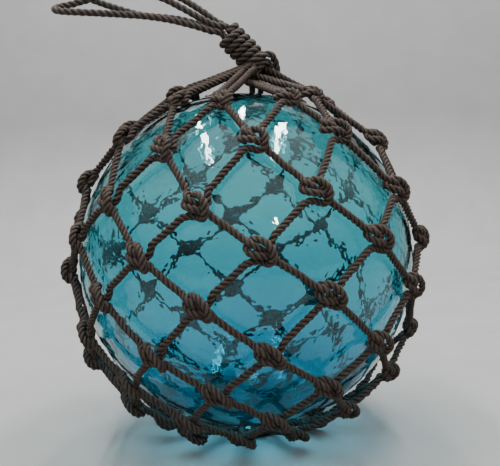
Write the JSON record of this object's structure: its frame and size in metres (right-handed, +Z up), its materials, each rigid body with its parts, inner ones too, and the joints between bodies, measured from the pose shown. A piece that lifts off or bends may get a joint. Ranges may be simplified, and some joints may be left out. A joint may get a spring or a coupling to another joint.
{
  "type": "glass float ball",
  "caption": "Hollow glass net float: a sealed blown glass ball in a knotted rope net, drawn up under a lashing with two hanging loops.",
  "frame": {"origin": "middle of the underside, under the rope ring that the float stands on; the loops are not counted", "axes": "+Z up through the crown of the net, -Y the front, +X to the right; the hanging loops stand out towards -X"},
  "size_m": [0.3328, 0.333, 0.4221],
  "materials": {
    "aqua_glass": "thin wavy hand-blown glass, aqua blue, glossy",
    "rope": "three-strand twisted rope, dark tarred brown, dull"
  },
  "bodies": {
    "root": {"glass_ball": "aqua_glass", "net": "rope", "drawstring_lashing": "rope", "hanging_loop_front": "rope", "hanging_loop_back": "rope"}
  },
  "joints": []
}
